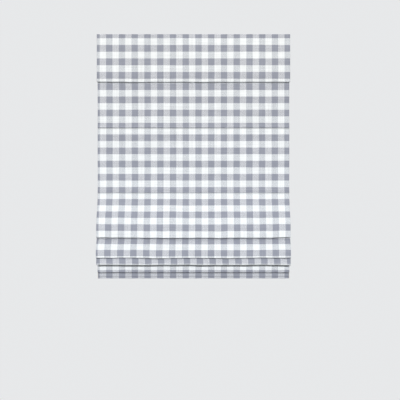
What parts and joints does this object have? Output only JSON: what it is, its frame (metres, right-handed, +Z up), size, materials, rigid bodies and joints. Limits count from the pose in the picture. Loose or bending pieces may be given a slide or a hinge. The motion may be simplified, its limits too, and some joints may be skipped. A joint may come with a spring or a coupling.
{
  "type": "roman blind",
  "caption": "Cordless check-cloth roman blind with a valance, folded to part drop, with headrail, spring lift, battens, rings and weighted bottom bar.",
  "frame": {"origin": "centre of the four bracket screw holes, on the soffit plane above the headrail", "axes": "+X to the right seen from the room, +Y towards the window, +Z up"},
  "size_m": [0.771, 0.0969, 0.9755],
  "materials": {
    "gingham_cloth": "matte",
    "pocket_tape": "matte",
    "rail_enamel": "satin",
    "bracket_steel": "satin",
    "cap_plastic": "satin",
    "ring_plastic": "gloss",
    "shaft_steel": "satin",
    "spool_nylon": "satin",
    "cradle_plastic": "matte",
    "motor_plastic": "satin",
    "spring_steel": "polished",
    "cord": "matte",
    "hook_tape": "matte",
    "batten_fibreglass": "satin",
    "bar_aluminium": "satin",
    "strip_pvc": "matte"
  },
  "bodies": {
    "rail": {"headrail": "rail_enamel", "end_cap_left": "cap_plastic", "end_cap_right": "cap_plastic", "bracket_left": "bracket_steel", "bracket_right": "bracket_steel", "spool_cradle_left": "cradle_plastic", "spool_cradle_centre": "cradle_plastic", "spool_cradle_right": "cradle_plastic", "cord_eyelets": "ring_plastic", "motor_tray": "motor_plastic", "motor_cover": "motor_plastic", "storage_axle": "shaft_steel", "spring_tape": "spring_steel", "hook_tapes": "hook_tape", "loop_tapes": "hook_tape", "valance_strip": "strip_pvc", "cloth_span_0": "gingham_cloth", "lift_cord_left": "cord", "lift_cord_centre": "cord", "lift_cord_right": "cord"},
    "valance": {"valance_cloth": "gingham_cloth", "valance_rod": "batten_fibreglass"},
    "shaft": {"lift_shaft": "shaft_steel", "cord_spool_left": "spool_nylon", "cord_spool_centre": "spool_nylon", "cord_spool_right": "spool_nylon", "wound_cords": "cord", "output_drum": "spool_nylon"},
    "storage": {"storage_drum": "spool_nylon"},
    "row_0": {"batten_0": "batten_fibreglass", "batten_pocket_0": "pocket_tape", "cord_rings_0": "ring_plastic", "cloth_span_1": "gingham_cloth"},
    "row_1": {"batten_1": "batten_fibreglass", "batten_pocket_1": "pocket_tape", "cord_rings_1": "ring_plastic", "cloth_span_2": "gingham_cloth"},
    "row_2": {"batten_2": "batten_fibreglass", "batten_pocket_2": "pocket_tape", "cord_rings_2": "ring_plastic", "cloth_span_3": "gingham_cloth"},
    "row_3": {"batten_3": "batten_fibreglass", "batten_pocket_3": "pocket_tape", "cord_rings_3": "ring_plastic", "cloth_span_4": "gingham_cloth"},
    "row_4": {"batten_4": "batten_fibreglass", "batten_pocket_4": "pocket_tape", "cord_rings_4": "ring_plastic", "cloth_span_5": "gingham_cloth"},
    "row_5": {"batten_5": "batten_fibreglass", "batten_pocket_5": "pocket_tape", "cord_rings_5": "ring_plastic", "cloth_skirt": "gingham_cloth", "cord_stops": "ring_plastic"},
    "bar": {"bottom_bar": "bar_aluminium", "bar_cap_left": "cap_plastic", "bar_cap_right": "cap_plastic", "bottom_hem": "gingham_cloth"}
  },
  "joints": [
    {"name": "valance_swing", "type": "hinge", "parent": "rail", "child": "valance", "pos_m": [0, -0.0344, -0.02025], "axis": [-1, 0, 0], "range_deg": [0, 40], "deforming": ["valance_cloth"]},
    {"name": "fold_0", "type": "slide", "parent": "rail", "child": "row_0", "axis": [0, 0, 1], "range_m": [0, 0.05], "deforming": ["cloth_span_0", "lift_cord_left", "lift_cord_centre", "lift_cord_right"]},
    {"name": "fold_1", "type": "slide", "parent": "row_0", "child": "row_1", "axis": [0, 0, 1], "range_m": [0, 0.248], "deforming": ["cloth_span_1"]},
    {"name": "fold_2", "type": "slide", "parent": "row_1", "child": "row_2", "axis": [0, 0, 1], "range_m": [0, 0.248], "deforming": ["cloth_span_2"]},
    {"name": "fold_3", "type": "slide", "parent": "row_2", "child": "row_3", "axis": [0, 0, 1], "range_m": [-0.131, 0.117], "deforming": ["cloth_span_3"]},
    {"name": "fold_4", "type": "slide", "parent": "row_3", "child": "row_4", "axis": [0, 0, 1], "range_m": [-0.227, 0.021], "deforming": ["cloth_span_4"]},
    {"name": "fold_5", "type": "slide", "parent": "row_4", "child": "row_5", "axis": [0, 0, 1], "range_m": [-0.242, 0.006], "deforming": ["cloth_span_5"]},
    {"name": "fold_6", "type": "slide", "parent": "row_5", "child": "bar", "axis": [0, 0, 1], "range_m": [0, 0.126], "deforming": ["cloth_skirt"]},
    {"name": "shaft_turn", "type": "hinge", "parent": "rail", "child": "shaft", "pos_m": [0, -0.00835, -0.021], "axis": [1, 0, 0], "range_deg": [-4570, 3974], "deforming": ["spring_tape"]},
    {"name": "storage_turn", "type": "hinge", "parent": "rail", "child": "storage", "pos_m": [0, 0.01125, -0.021], "axis": [1, 0, 0], "range_deg": [-3974, 4570]}
  ],
  "couplings": [
    {"joint": "shaft_turn", "follows": "fold_3", "rad_per_m": -115.61},
    {"joint": "storage_turn", "follows": "fold_3", "rad_per_m": 115.61}
  ]
}
